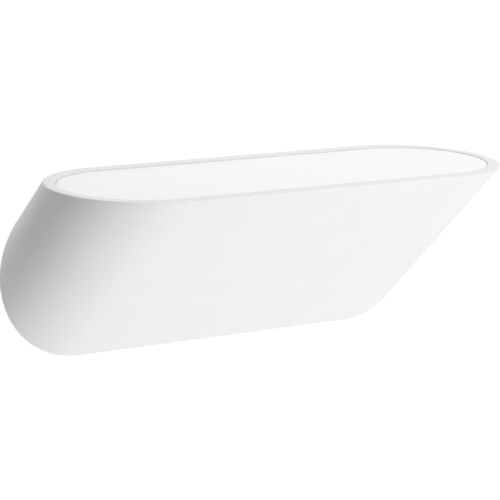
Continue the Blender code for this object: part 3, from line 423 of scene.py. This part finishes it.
silicone = soft_silicone()
for row in ("front", "back"):
    for hand in ("left", "right"):
        low, mid, high = room(f"glass_pad_{row}_{hand}")
        r, tall = mid[0] - low[0], high[2] - low[2]
        dome = [(0, 0), (r, 0), (r * 0.97, tall * 0.6), (r * 0.75, tall), (0, tall)]
        pad = turned(f"pad_{row}_{hand}", dome, (mid[0], mid[1], low[2]), (0, 0, 1), silicone, ease=0.00012)
        stands_for(pad, f"glass_pad_{row}_{hand}")

# ---------------------------------------------------------------------------------------------
# Diffuser. One panel of 3 mm glass, cut to the rebate's outline, frosted on both faces and
# polished at its edge. It lies loose on its pads and lifts straight out.
# ---------------------------------------------------------------------------------------------
CUT_SLACK = 0.0003              # the glass is cut a little full and still drops in freely
GLASS_EASE = 0.0003


def glass_sheet():
    """Panel section from the middle of its top face, out round the eased edge, to the middle of its
    underside, carried round a round-ended outline."""
    turn = np.concatenate([arc, arc + np.pi])
    ends = np.concatenate([one_end, -one_end])
    low, mid, high = room("glass_diffuser")
    radius = high[1] - mid[1] + CUT_SLACK
    flat_to, top, under = radius - GLASS_EASE, high[2], low[2]
    across_edge = np.linspace(0, np.pi / 2, 6)
    rise, fall = GLASS_EASE * np.sin(across_edge), GLASS_EASE * np.cos(across_edge)
    r = np.concatenate([[0, radius / 2], flat_to + rise, flat_to + fall, [radius / 2, 0]])
    z = np.concatenate([[top, top], top - GLASS_EASE + fall, under + GLASS_EASE - rise, [under, under]])
    reach = (high[0] + CUT_SLACK - STRAIGHT) / radius
    x = ends[:, None] * STRAIGHT + r[None] * reach * np.cos(turn)[:, None]
    depth = REBATE_CENTRE - r[None] * np.sin(turn)[:, None]
    return np.stack([x, -depth, np.broadcast_to(z[None], x.shape)], -1)


def frosted_glass():
    """Acid-etched glass: an even white haze, satin to the eye, with a very fine sugary tooth."""
    finish = Finish("frosted_glass", IOR=1.5, Transmission_Weight=0.05, Specular_IOR_Level=0.5)
    haze = finish.grain(0.06, 2.0)
    tooth = finish.grain(0.0006, 2.0)
    finish.colour(haze, (0.975, 0.977, 0.977), (0.950, 0.954, 0.955))
    finish.roughness(0.40 + haze * 0.12)
    finish.relief(tooth, 0.00002)
    return finish.material


panel = join_grid("glass_panel", glass_sheet(), frosted_glass(), close_v=False, crease=60.0)
stands_for(panel, "glass_diffuser")

# ---------------------------------------------------------------------------------------------
# Wall plate and brackets. Mild steel, punched and bent, then powder coated white. The plate lies
# flat on the wall; each bracket is screwed to it through a flange and ends in a foot.
# ---------------------------------------------------------------------------------------------


def powder_coat():
    """White powder coat: a glossy skin with orange peel, thin and grey where it has rubbed."""
    finish = Finish("powder_coat", Specular_IOR_Level=0.5)
    peel = finish.grain(0.0014, 2.0)
    cloud = finish.grain(0.02, 3.0)
    rub = finish.between(0.62, 0.78, finish.grain(0.009, 5.0, rough=0.7))
    finish.colour(rub * 0.8 + cloud * 0.2, (0.83, 0.83, 0.82), (0.66, 0.66, 0.65))
    finish.roughness(0.34 + rub * 0.22 + cloud * 0.06)
    finish.relief(peel, 0.00005)
    return finish.material


def refinish(material, *nodes):
    """A frame node keeps its shape and takes a finish."""
    for node in nodes:
        for skin in frame["nodes"][node].material_slots:
            skin.material = material


refinish(powder_coat(), "wall_plate", "bracket_left", "bracket_right")

# ---------------------------------------------------------------------------------------------
# Keepers and screws. Zinc-plated steel: two flat keepers let into the back of the casting, each
# held by two countersunk screws, and the pan-head screws that hold the brackets and lampholders.
# ---------------------------------------------------------------------------------------------


def zinc_plating():
    """Bright zinc with a thin blue-grey passivation that clouds from place to place."""
    finish = Finish("zinc_plating", Metallic=1.0)
    cloud = finish.grain(0.006, 4.0)
    scuff = finish.grain(0.0016, 2.0, (1.0, 1.0, 0.12))
    finish.colour(cloud, (0.66, 0.67, 0.69), (0.50, 0.51, 0.50))
    finish.roughness(0.24 + cloud * 0.20 + scuff * 0.10)
    finish.relief(scuff, 0.00001)
    return finish.material


def pan_head(head, long, tall, shank):
    """Outline of a pan-head screw, from the edge of its head to its tip, as (radius, distance)."""
    return [(head * 0.8, long), (head * 0.94, long - tall * 0.15), (head, long - tall * 0.4),
            (head, long - tall), (shank, long - tall), (shank, 0.0005), (shank * 0.7, 0), (0, 0)]


def cross_screw(node, profile, start, direction, finish):
    """A screw turned from the (radius, distance) profile that runs from the edge of its head to its
    tip, with a cross recess: the head is sunk where the smaller of |a| and |b| is under half an
    arm's width and the larger is under its length."""
    face_rings = 15
    rim, top = profile[0]
    rings = np.linspace(0, 1, face_rings + 1)[:-1] * rim
    line = np.array([(r, top) for r in rings] + list(profile))
    axis = np.array(direction, float)
    u = np.cross(axis, (0.0, 0.0, 1.0))
    u /= np.linalg.norm(u)
    v = np.cross(axis, u)
    turn = np.linspace(0, 2 * np.pi, 64, endpoint=False)[:, None]
    a, b = line[None, :, 0] * np.cos(turn), line[None, :, 0] * np.sin(turn)
    arm = np.clip((rim * 0.17 - np.minimum(abs(a), abs(b))) / (rim * 0.06), 0, 1)
    reach = np.clip((rim * 0.72 - np.maximum(abs(a), abs(b))) / (rim * 0.12), 0, 1)
    sunk = np.where(np.arange(len(line)) < face_rings, arm * reach, 0) * rim * 0.35
    along = line[None, :, 1] - sunk
    points = np.array(start) + along[..., None] * axis + a[..., None] * u + b[..., None] * v
    screw = join_grid(f"{node}_cross", points, finish, close_v=False, crease=30.0)
    stands_for(screw, node)


def plate_screw(node, finish):
    """A pan-head screw driven into the wall plate from the room side."""
    low, mid, high = room(node)
    cross_screw(node, pan_head(mid[0] - low[0], high[1] - low[1], 0.0024, 0.002),
                (mid[0], high[1], mid[2]), (0, -1, 0), finish)


zinc = zinc_plating()
refinish(zinc, "keeper_left", "keeper_right")
for hand, outward in (("left", -1), ("right", 1)):
    for tag in ("a", "b"):
        low, mid, high = room(f"keeper_screw_{hand}_{tag}")
        head, shank, long = mid[0] - low[0], 0.00175, high[1] - low[1]
        countersunk = [(head, long), (head, long - 0.0006), (shank, long - 0.0010), (shank, 0.002),
                       (shank * 0.4, 0), (0, 0)]
        cross_screw(f"keeper_screw_{hand}_{tag}", countersunk, (mid[0], low[1], mid[2]), (0, 1, 0),
                    zinc)
    plate_screw(f"bracket_screw_{hand}", zinc)
    low, mid, high = room(f"holder_screw_{hand}")
    tip_x = low[0] if outward > 0 else high[0]
    cross_screw(f"holder_screw_{hand}", pan_head(mid[2] - low[2], high[0] - low[0], 0.0018, 0.0014),
                (tip_x, mid[1], mid[2]), (outward, 0, 0), zinc)

# ---------------------------------------------------------------------------------------------
# Cable grommet. A black rubber ring pressed into the plate's cable hole, with a rounded lip on
# the inside, so that the supply cable isn't cut by the edge of the steel.
# ---------------------------------------------------------------------------------------------


def black_rubber():
    """Moulded black rubber with a grey bloom."""
    finish = Finish("black_rubber", Specular_IOR_Level=0.4)
    bloom = finish.grain(0.0035, 4.0)
    finish.colour(bloom, (0.030, 0.030, 0.031), (0.095, 0.094, 0.092))
    finish.roughness(0.52 + bloom * 0.25)
    finish.relief(finish.grain(0.0005, 2.0), 0.00002)
    return finish.material


GROMMET_BORE, GROMMET_NECK, LIP_THICK = 0.004, 0.0067, 0.0016
low, mid, high = room("cable_grommet")
lip, neck_end, lip_end = mid[0] - low[0], -high[1], -low[1]
ring_section = [(GROMMET_BORE, lip_end), (lip, lip_end), (lip, lip_end - LIP_THICK),
                (GROMMET_NECK, lip_end - LIP_THICK), (GROMMET_NECK, neck_end), (GROMMET_BORE, neck_end)]
grommet = turned("grommet_ring", ring_section, (mid[0], 0, mid[2]), (0, -1, 0), black_rubber(), 72,
                 0.0006, closed=True)
stands_for(grommet, "cable_grommet")

# ---------------------------------------------------------------------------------------------
# Reflector. Thin aluminium sheet, brightened and brushed along its length, folded up at the front
# and held to the bracket feet by two domed rivets. It throws the lamp's light up at the glass.
# ---------------------------------------------------------------------------------------------


def brushed_aluminium():
    """Bright sheet with long fine brush lines along X and a slight heat haze."""
    finish = Finish("brushed_aluminium", Metallic=1.0)
    lines = finish.grain(0.0010, 3.0, (0.02, 1.0, 1.0))
    haze = finish.grain(0.03, 3.0)
    finish.colour(lines * 0.5 + haze * 0.5, (0.91, 0.915, 0.92), (0.80, 0.80, 0.80))
    finish.roughness(0.16 + lines * 0.16 + haze * 0.06)
    finish.relief(lines, 0.000008)
    return finish.material


RIVET_SHANK, RIVET_HEAD, DOME_RISE = 0.0015, 0.0027, 0.0009
GRIP_UNDER, GRIP_OVER = -0.0011, 0.0021     # the sheet and the bracket's foot lie between the heads
FOOT_Y, FOOT_Z = -0.032, 0.008
aluminium = brushed_aluminium()
refinish(aluminium, "reflector")
dome = np.radians(np.linspace(90, 0, 7))
upper = [(RIVET_HEAD * math.cos(t), GRIP_OVER + DOME_RISE * math.sin(t)) for t in dome]
lower = [(RIVET_HEAD * math.cos(t), GRIP_UNDER - DOME_RISE * math.sin(t)) for t in dome[::-1]]
rivet_profile = [*upper, (RIVET_SHANK, GRIP_OVER), (RIVET_SHANK, GRIP_UNDER), *lower]
for hand in ("left", "right"):
    foot_x = room(f"rivet_{hand}")[1][0]
    rivet = turned(f"rivet_domed_{hand}", rivet_profile, (foot_x, FOOT_Y, FOOT_Z), (0, 1, 1),
                   aluminium, ease=0.00005)
    stands_for(rivet, f"rivet_{hand}")

# ---------------------------------------------------------------------------------------------
# Lampholders and contacts. Unglazed steatite blocks, pressed and fired. The left one has a fixed
# brass pin; the right one's pin slides in its bore against a steel spring and a brass washer.
# ---------------------------------------------------------------------------------------------


def steatite(name="steatite"):
    """Dry off-white ceramic with fine grey and brown specks and a pressed, slightly pitted skin."""
    finish = Finish(name, Specular_IOR_Level=0.3)
    cloud = finish.grain(0.008, 4.0)
    speck = finish.between(0.70, 0.76, finish.grain(0.0007, 1.0))
    finish.colour(cloud * 0.4 + speck * 0.6, (0.86, 0.845, 0.80), (0.66, 0.62, 0.55))
    finish.roughness(0.55 + cloud * 0.2)
    finish.relief(finish.grain(0.0004, 2.0) - speck * 0.8, 0.00003)
    return finish.material


def plain_brass():
    """Machined brass, warm and bright with darker tarnish in patches."""
    finish = Finish("plain_brass", Metallic=1.0)
    tarnish = finish.grain(0.005, 5.0, rough=0.65)
    lathe = finish.grain(0.0004, 1.0, (1.0, 0.1, 0.1))
    finish.colour(tarnish, (0.86, 0.68, 0.36), (0.55, 0.38, 0.17))
    finish.roughness(0.22 + tarnish * 0.26 + lathe * 0.05)
    finish.relief(lathe, 0.000008)
    return finish.material


def spring_steel():
    """Hard-drawn wire, dark and slightly oily."""
    finish = Finish("spring_steel", Metallic=1.0)
    drawn = finish.grain(0.0009, 3.0)
    finish.colour(drawn, (0.42, 0.42, 0.43), (0.27, 0.26, 0.26))
    finish.roughness(0.25 + drawn * 0.18)
    return finish.material


def drawn_tube(name, path, radius, finish, sides, stripe=None, stripe_half=0.7):
    """A round wire along a path: rings at p + radius * (cos a * u + sin a * v), with u and v square
    to the path's direction, and both ends closed. A stripe covers angles within its half width."""
    path = np.asarray(path, float)
    way = np.gradient(path, axis=0)
    way /= np.linalg.norm(way, axis=1, keepdims=True)
    u = np.cross(way, (0.31, 0.83, 0.47))
    u /= np.linalg.norm(u, axis=1, keepdims=True)
    v = np.cross(way, u)
    turn = np.linspace(0, 2 * np.pi, sides, endpoint=False)[None, :, None]
    rings = path[:, None] + radius * (np.cos(turn) * u[:, None] + np.sin(turn) * v[:, None])
    rings = np.concatenate([np.repeat(path[:1, None], sides, 1), rings,
                            np.repeat(path[-1:, None], sides, 1)])
    piece = join_grid(name, rings, finish, close_u=False, crease=50.0)
    if stripe:
        piece.data.materials.append(stripe)
        places = np.empty(len(piece.data.polygons) * 3)
        piece.data.polygons.foreach_get("center", places)
        places = places.reshape(-1, 3)
        near = np.argmin(((places[:, None] - path[None]) ** 2).sum(-1), 1)
        out = places - path[near]
        lean = np.arctan2((out * v[near]).sum(1), (out * u[near]).sum(1))
        piece.data.polygons.foreach_set("material_index", (abs(lean) < stripe_half).astype(np.int32))
    return piece


refinish(steatite(), "holder_left", "holder_right")
brass = plain_brass()
# Radii of the two pins, and distances out from the middle of the lamp along its axis.
PIN_RADIUS, TIP_RADIUS, COLLAR_RADIUS, TAIL_RADIUS = 0.0015, 0.0009, 0.0032, 0.001
PIN_TIP, COLLAR, COLLAR_THICK, SPRING_CAP, TAIL_END = 0.0574, 0.0656, 0.001, 0.0749, 0.0769
WASHER_BORE, WASHER_RADIUS, WASHER_THICK = 0.0013, 0.0035, 0.001
LAMP_DEPTH, LAMP_Z = 0.036, 0.030
lamp_middle = (0, -LAMP_DEPTH, LAMP_Z)
to_left, to_right = (-1, 0, 0), (1, 0, 0)
pin_front = [(COLLAR_RADIUS, COLLAR), (PIN_RADIUS, COLLAR), (PIN_RADIUS, PIN_TIP + 0.0006),
             (TIP_RADIUS, PIN_TIP), (0, PIN_TIP)]
fixed_pin = turned("fixed_pin", [(0, SPRING_CAP), (COLLAR_RADIUS, SPRING_CAP), *pin_front],
                   lamp_middle, to_left, brass)
stands_for(fixed_pin, "contact_left")
tail = [(0, TAIL_END), (TAIL_RADIUS, TAIL_END), (TAIL_RADIUS, COLLAR + COLLAR_THICK),
        (COLLAR_RADIUS, COLLAR + COLLAR_THICK)]
sprung_pin = turned("sprung_pin", [*tail, *pin_front], lamp_middle, to_right, brass)
stands_for(sprung_pin, "contact_pin_right")
washer_end = SPRING_CAP + WASHER_THICK
washer = turned("spring_washer", [(WASHER_BORE, washer_end), (WASHER_RADIUS, washer_end),
                                  (WASHER_RADIUS, SPRING_CAP), (WASHER_BORE, SPRING_CAP)],
                lamp_middle, to_right, brass, closed=True)
stands_for(washer, "spring_cap")

# The spring: a helix whose pitch is small over the first and last turns, so that its ends lie flat.
COIL_TURNS, COIL_RADIUS, COIL_WIRE = 4.5, 0.0026, 0.0003
coil_low, _, coil_high = room("contact_spring")
share = np.linspace(0, 1, 160)
rise = 0.10 * share + 0.90 * np.clip((share - 0.12) / 0.76, 0, 1)
coil_turn = 2 * np.pi * COIL_TURNS * share
coil_x = coil_low[0] + COIL_WIRE + (coil_high[0] - coil_low[0] - 2 * COIL_WIRE) * rise
coil_path = np.stack([coil_x, -LAMP_DEPTH - COIL_RADIUS * np.cos(coil_turn),
                      LAMP_Z + COIL_RADIUS * np.sin(coil_turn)], -1)
spring = drawn_tube("contact_coil", coil_path, COIL_WIRE, spring_steel(), 10)
stands_for(spring, "contact_spring")
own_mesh(spring)

# ---------------------------------------------------------------------------------------------
# Terminal block and earth point. A moulded three-pole block with a brass tube and a clamp screw
# in each pole, and a brass tag under an earth screw on the plate.
# ---------------------------------------------------------------------------------------------


def moulded_nylon():
    """Off-white nylon, softly mottled, with a fine spark-eroded skin."""
    finish = Finish("moulded_nylon", Subsurface_Weight=0.1, Subsurface_Radius=(0.001, 0.001, 0.001))
    cloud = finish.grain(0.012, 3.0)
    skin = finish.grain(0.00045, 2.0)
    finish.colour(cloud, (0.83, 0.82, 0.79), (0.74, 0.73, 0.69))
    finish.roughness(0.40 + skin * 0.15)
    finish.relief(skin, 0.00003)
    return finish.material


refinish(moulded_nylon(), "terminal_block")
refinish(zinc, "terminal_screw_1", "terminal_screw_2", "terminal_screw_3")
refinish(brass, "earth_tag")
POLE_BORE, POLE_RADIUS = 0.0016, 0.0025
for pole in (1, 2, 3):
    low, mid, high = room(f"terminal_insert_{pole}")
    tall = high[2] - low[2]
    pole_section = [(POLE_BORE, tall), (POLE_RADIUS, tall), (POLE_RADIUS, 0), (POLE_BORE, 0)]
    pole_tube = turned(f"pole_tube_{pole}", pole_section, (mid[0], mid[1], low[2]), (0, 0, 1), brass,
                       closed=True)
    stands_for(pole_tube, f"terminal_insert_{pole}")
plate_screw("earth_screw", brass)

# ---------------------------------------------------------------------------------------------
# Internal wires. Heat-resistant insulated wires from the terminals to the contacts and the earth
# tag: brown, blue, and green with a yellow stripe.
# ---------------------------------------------------------------------------------------------


def insulation(name, bright, dull):
    """Extruded sleeve: even colour with slight handling marks."""
    finish = Finish(name, Specular_IOR_Level=0.45)
    marks = finish.grain(0.004, 4.0)
    finish.colour(marks, bright, dull)
    finish.roughness(0.36 + marks * 0.2)
    return finish.material


def through(points, steps=8):
    """Smooth path in metres through points in millimetres: on each span the cubic that leaves and
    reaches its two points along half the line between their neighbours."""
    p = np.asarray(points, float) / 1000.0
    q = np.concatenate([p[:1], p, p[-1:]])
    p0, p1, p2, p3 = q[:-3], q[1:-2], q[2:-1], q[3:]
    t = (np.arange(steps) / steps)[None, :, None]
    p0, p1, p2, p3 = (c[:, None] for c in (p0, p1, p2, p3))
    curve = 0.5 * (2 * p1 + (p2 - p0) * t + (2 * p0 - 5 * p1 + 4 * p2 - p3) * t ** 2
                   + (3 * p1 - p0 - 3 * p2 + p3) * t ** 3)
    return np.concatenate([curve.reshape(-1, 3), p[-1:]])


WIRE_RADIUS, WIRE_SIDES = 0.0008, 16
live_route = [(-14, -7.2, 1.7), (-14, -7.2, 7.7), (-18, -9, 10.7), (-30, -9.5, 10.7), (-58.6, -9.5, 8),
              (-70.6, -9, 6), (-81.1, -9, 6), (-86.1, -11, 9), (-89.1, -22.5, 16), (-86.1, -35, 29),
              (-80.1, -36, 30), (-75.2, -36, 30)]
neutral_route = [(4, -7.2, 1.7), (4, -7.2, 7.7), (8, -9, 10.7), (20, -9.5, 10.7), (58.6, -9.5, 8),
                 (70.6, -9, 6), (81.1, -9, 6), (86.1, -11, 9), (89.1, -22.5, 16), (86.1, -37.3, 29),
                 (80.1, -38.3, 30), (76.2, -38.3, 30)]
earth_route = [(-5, -7.2, -2.3), (-5, -7.2, -8.1), (-2, -6.2, -10.1), (10, -5.2, -9.8), (21.5, -3.5, -1),
               (26.5, -3.2, 0), (29.2, -3.2, 0)]
brown = insulation("brown_sleeve", (0.20, 0.09, 0.045), (0.13, 0.06, 0.03))
blue = insulation("blue_sleeve", (0.05, 0.17, 0.50), (0.03, 0.11, 0.33))
green = insulation("green_sleeve", (0.06, 0.34, 0.09), (0.04, 0.24, 0.06))
yellow = insulation("yellow_stripe", (0.78, 0.66, 0.08), (0.60, 0.50, 0.06))
live = drawn_tube("live_wire", through(live_route), WIRE_RADIUS, brown, WIRE_SIDES)
stands_for(live, "wire_live")
neutral = drawn_tube("neutral_wire", through(neutral_route), WIRE_RADIUS, blue, WIRE_SIDES)
stands_for(neutral, "wire_neutral")
earth = drawn_tube("earth_wire", through(earth_route), WIRE_RADIUS, green, WIRE_SIDES, yellow)
stands_for(earth, "wire_earth")

# ---------------------------------------------------------------------------------------------
# Lamp. A double-ended linear halogen lamp: a clear quartz tube pinched flat at both ends, a coiled
# tungsten filament, and ceramic end caps with a sunk contact. It turns freely on its two pins.
# ---------------------------------------------------------------------------------------------


def clear_quartz():
    """Fused quartz: water-clear, with a faint milky haze where it was worked."""
    finish = Finish("clear_quartz", Transmission_Weight=1.0, IOR=1.46)
    haze = finish.grain(0.012, 3.0)
    finish.colour(haze, (0.99, 0.99, 0.995), (0.95, 0.96, 0.97))
    finish.roughness(0.01 + haze * 0.05)
    return finish.material


def tungsten():
    """Grey recrystallised tungsten wire."""
    finish = Finish("tungsten_wire", Metallic=1.0)
    crystal = finish.grain(0.0005, 2.0)
    finish.colour(crystal, (0.40, 0.40, 0.41), (0.24, 0.24, 0.25))
    finish.roughness(0.30 + crystal * 0.2)
    return finish.material


TUBE_BORE, TUBE_RADIUS = 0.004, 0.005
CAP_RADIUS, CAP_INNER, CAP_OUTER = 0.004, 0.0458, 0.0588
WELL_RADIUS, WELL_DEEP = 0.002, 0.003       # each cap has a well for the pin, with the contact in it
BUTTON_RADIUS, BUTTON_INNER, BUTTON_OUTER = 0.0017, 0.0561, 0.0571
quartz = clear_quartz()
refinish(quartz, "pinch_left", "pinch_right")
tube_end = float(room("lamp_tube")[2][0])
tube_section = [(TUBE_BORE, tube_end), (TUBE_RADIUS, tube_end), (TUBE_RADIUS, -tube_end),
                (TUBE_BORE, -tube_end)]
envelope = turned("quartz_tube", tube_section, lamp_middle, to_right, quartz, 72, 0.00035, closed=True)
stands_for(envelope, "lamp_tube")
cap_ceramic = steatite("cap_ceramic")
cap_profile = [(0, CAP_OUTER - WELL_DEEP), (WELL_RADIUS, CAP_OUTER - WELL_DEEP), (WELL_RADIUS, CAP_OUTER),
               (0.0036, CAP_OUTER), (CAP_RADIUS, CAP_OUTER - 0.0004), (CAP_RADIUS, CAP_INNER), (0, CAP_INNER)]
button_profile = [(0, BUTTON_OUTER), (BUTTON_RADIUS, BUTTON_OUTER), (BUTTON_RADIUS, BUTTON_INNER),
                  (0, BUTTON_INNER)]
for hand, outward in (("left", to_left), ("right", to_right)):
    cap = turned(f"ceramic_cap_{hand}", cap_profile, lamp_middle, outward, cap_ceramic, 56, 0.0003)
    stands_for(cap, f"cap_{hand}")
    button = turned(f"contact_button_{hand}", button_profile, lamp_middle, outward, zinc, 40, 0.00025)
    stands_for(button, f"end_contact_{hand}")

# The filament: a fine helix along the lamp's axis, with a straight leg at each end.
WINDINGS, WINDING_RADIUS, WINDING_END, TUNGSTEN_RADIUS = 64, 0.00068, 0.030, 0.00015
winding = np.linspace(0, 2 * np.pi * WINDINGS, WINDINGS * 12)
coil = np.stack([WINDING_END * (2 * winding / winding[-1] - 1),
                 -LAMP_DEPTH + WINDING_RADIUS * np.cos(winding),
                 LAMP_Z + WINDING_RADIUS * np.sin(winding)], -1)
leg = np.linspace(0.0385, 0.0304, 6)[:, None] * np.array([[1, 0, 0]]) + np.array([lamp_middle])
filament_path = np.concatenate([leg * np.array([-1, 1, 1]), coil, leg[::-1]])
filament = drawn_tube("filament_coil", filament_path, TUNGSTEN_RADIUS, tungsten(), 6)
stands_for(filament, "filament")
